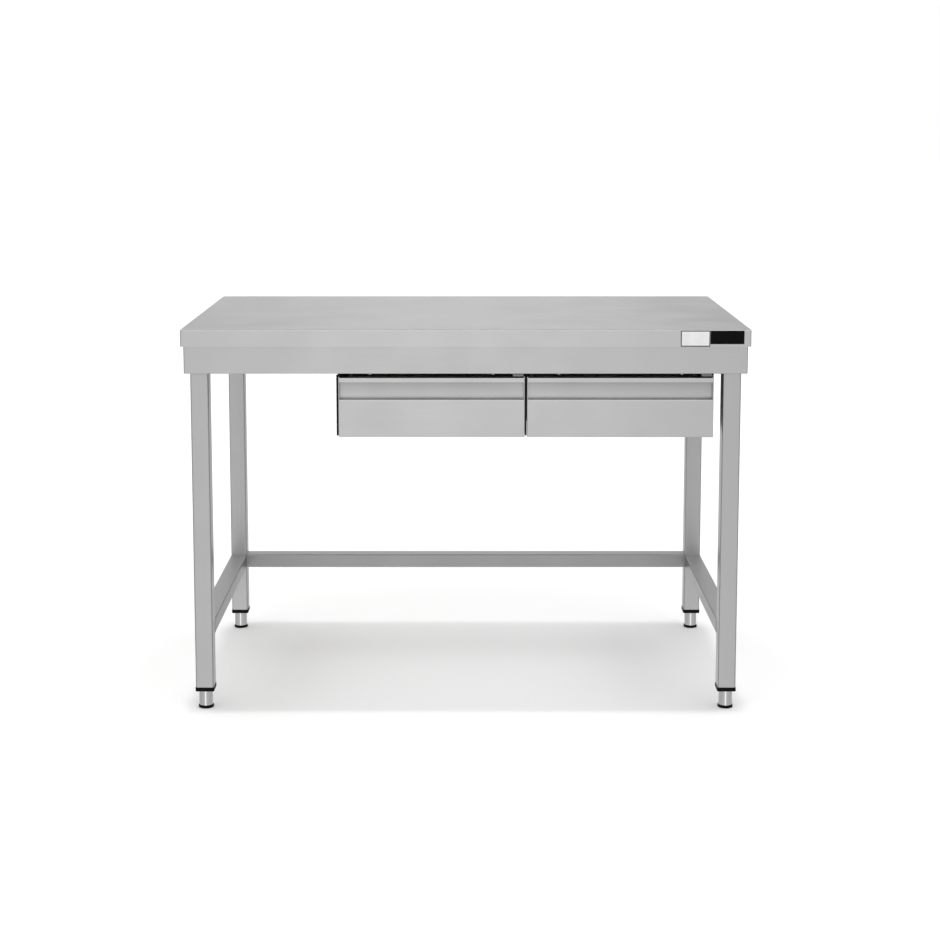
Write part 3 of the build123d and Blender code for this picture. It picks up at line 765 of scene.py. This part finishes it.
# Ball cages in the runners. Rows lie above and below the middle member's centre line, at a height from it and
# a reach from the outer member's face, which stands outside the middle member's box.
BALL_RADIUS = 1.42 * MM
BALL_GAP = 21.0 * MM
CAGE_THICKNESS = 0.9 * MM
CAGE_STEPS = 8
CAGE_END_SHARE = 0.6
OUTER_FACE_OUT = 4.4 * MM
OUTER_ROW = {"height": 19.8 * MM, "reach": 7.0 * MM, "span": (-10.0 * MM, 160.0 * MM), "width": 4.6 * MM}
INNER_ROW = {"height": 15.55 * MM, "reach": 8.5 * MM, "span": (-300.0 * MM, -80.0 * MM), "width": 2.6 * MM}


def add_cage_row(mesh_data, x, z, span, width):
    """A strip along Y with narrowed ends, and the balls that stick out of it."""
    start, end = span
    rings = []
    for step in range(CAGE_STEPS + 1):
        y = start + (end - start) * step / CAGE_STEPS
        half = width / 2.0 * (CAGE_END_SHARE if step in (0, CAGE_STEPS) else 1.0)
        rings.append([(x + a * half, y, z + b * CAGE_THICKNESS / 2.0) for a, b in SQUARE])
    skin_rings(mesh_data, rings)
    for i in range(int((end - start) / BALL_GAP)):
        place = Matrix.Translation((x, start + BALL_GAP * (i + 0.5), z))
        bmesh.ops.create_uvsphere(mesh_data, u_segments=12, v_segments=8, radius=BALL_RADIUS, matrix=place)


def make_ball_cages():
    """Cages and balls of the four runners; they travel with the middle members."""
    for drawer in DRAWERS:
        low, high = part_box(f"{drawer}_runner_middle")
        middle_z = (low[Z] + high[Z]) / 2
        faces = [(low[X] - OUTER_FACE_OUT, 1), (high[X] + OUTER_FACE_OUT, -1)]

        def fill(mesh_data):
            for face, side in faces:
                for row in (OUTER_ROW, INNER_ROW):
                    x = face + side * row["reach"]
                    for up in (-1, 1):
                        add_cage_row(mesh_data, x, middle_z + up * row["height"], row["span"], row["width"])

        add_piece(f"{drawer}_ball_cages", fill, "zinc", f"{drawer}_runner")


# Folded tabs that show in the dark gap over the right end of each drawer
TAB_LENGTH = 23.0 * MM
TAB_SHEET = 1.0 * MM
TAB_DEPTH = 16.0 * MM
TAB_RISE = 2.2 * MM
TAB_IN_FROM_END = 3.0 * MM
TAB_ABOVE_FRONT = 0.9 * MM
TAB_BEHIND_FACE = 3.0 * MM


def make_hanger_tabs():
    """An L-shaped tab over each drawer, with its rise at the back."""
    for drawer in DRAWERS:
        low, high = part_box(f"{drawer}_drawer_front")
        right = high[X] - TAB_IN_FROM_END
        bottom = high[Z] + TAB_ABOVE_FRONT
        front = low[Y] + TAB_BEHIND_FACE
        back = front + TAB_DEPTH
        outline = [
            (front, bottom),
            (back, bottom),
            (back, bottom + TAB_RISE),
            (back - TAB_SHEET, bottom + TAB_RISE),
            (back - TAB_SHEET, bottom + TAB_SHEET),
            (front, bottom + TAB_SHEET),
        ]
        rings = [[(x, y, z) for y, z in outline] for x in (right - TAB_LENGTH, right)]
        add_piece(
            f"{drawer}_hanger_tab",
            lambda data: skin_rings(data, rings),
            "zinc",
            "frame",
        )


# ---------------------------------------------------------------- run

make_stage()
dress_nodes()
make_stems()
make_rail_welds()
make_apron_seams()
make_plate_border()
make_ball_cages()
make_hanger_tabs()
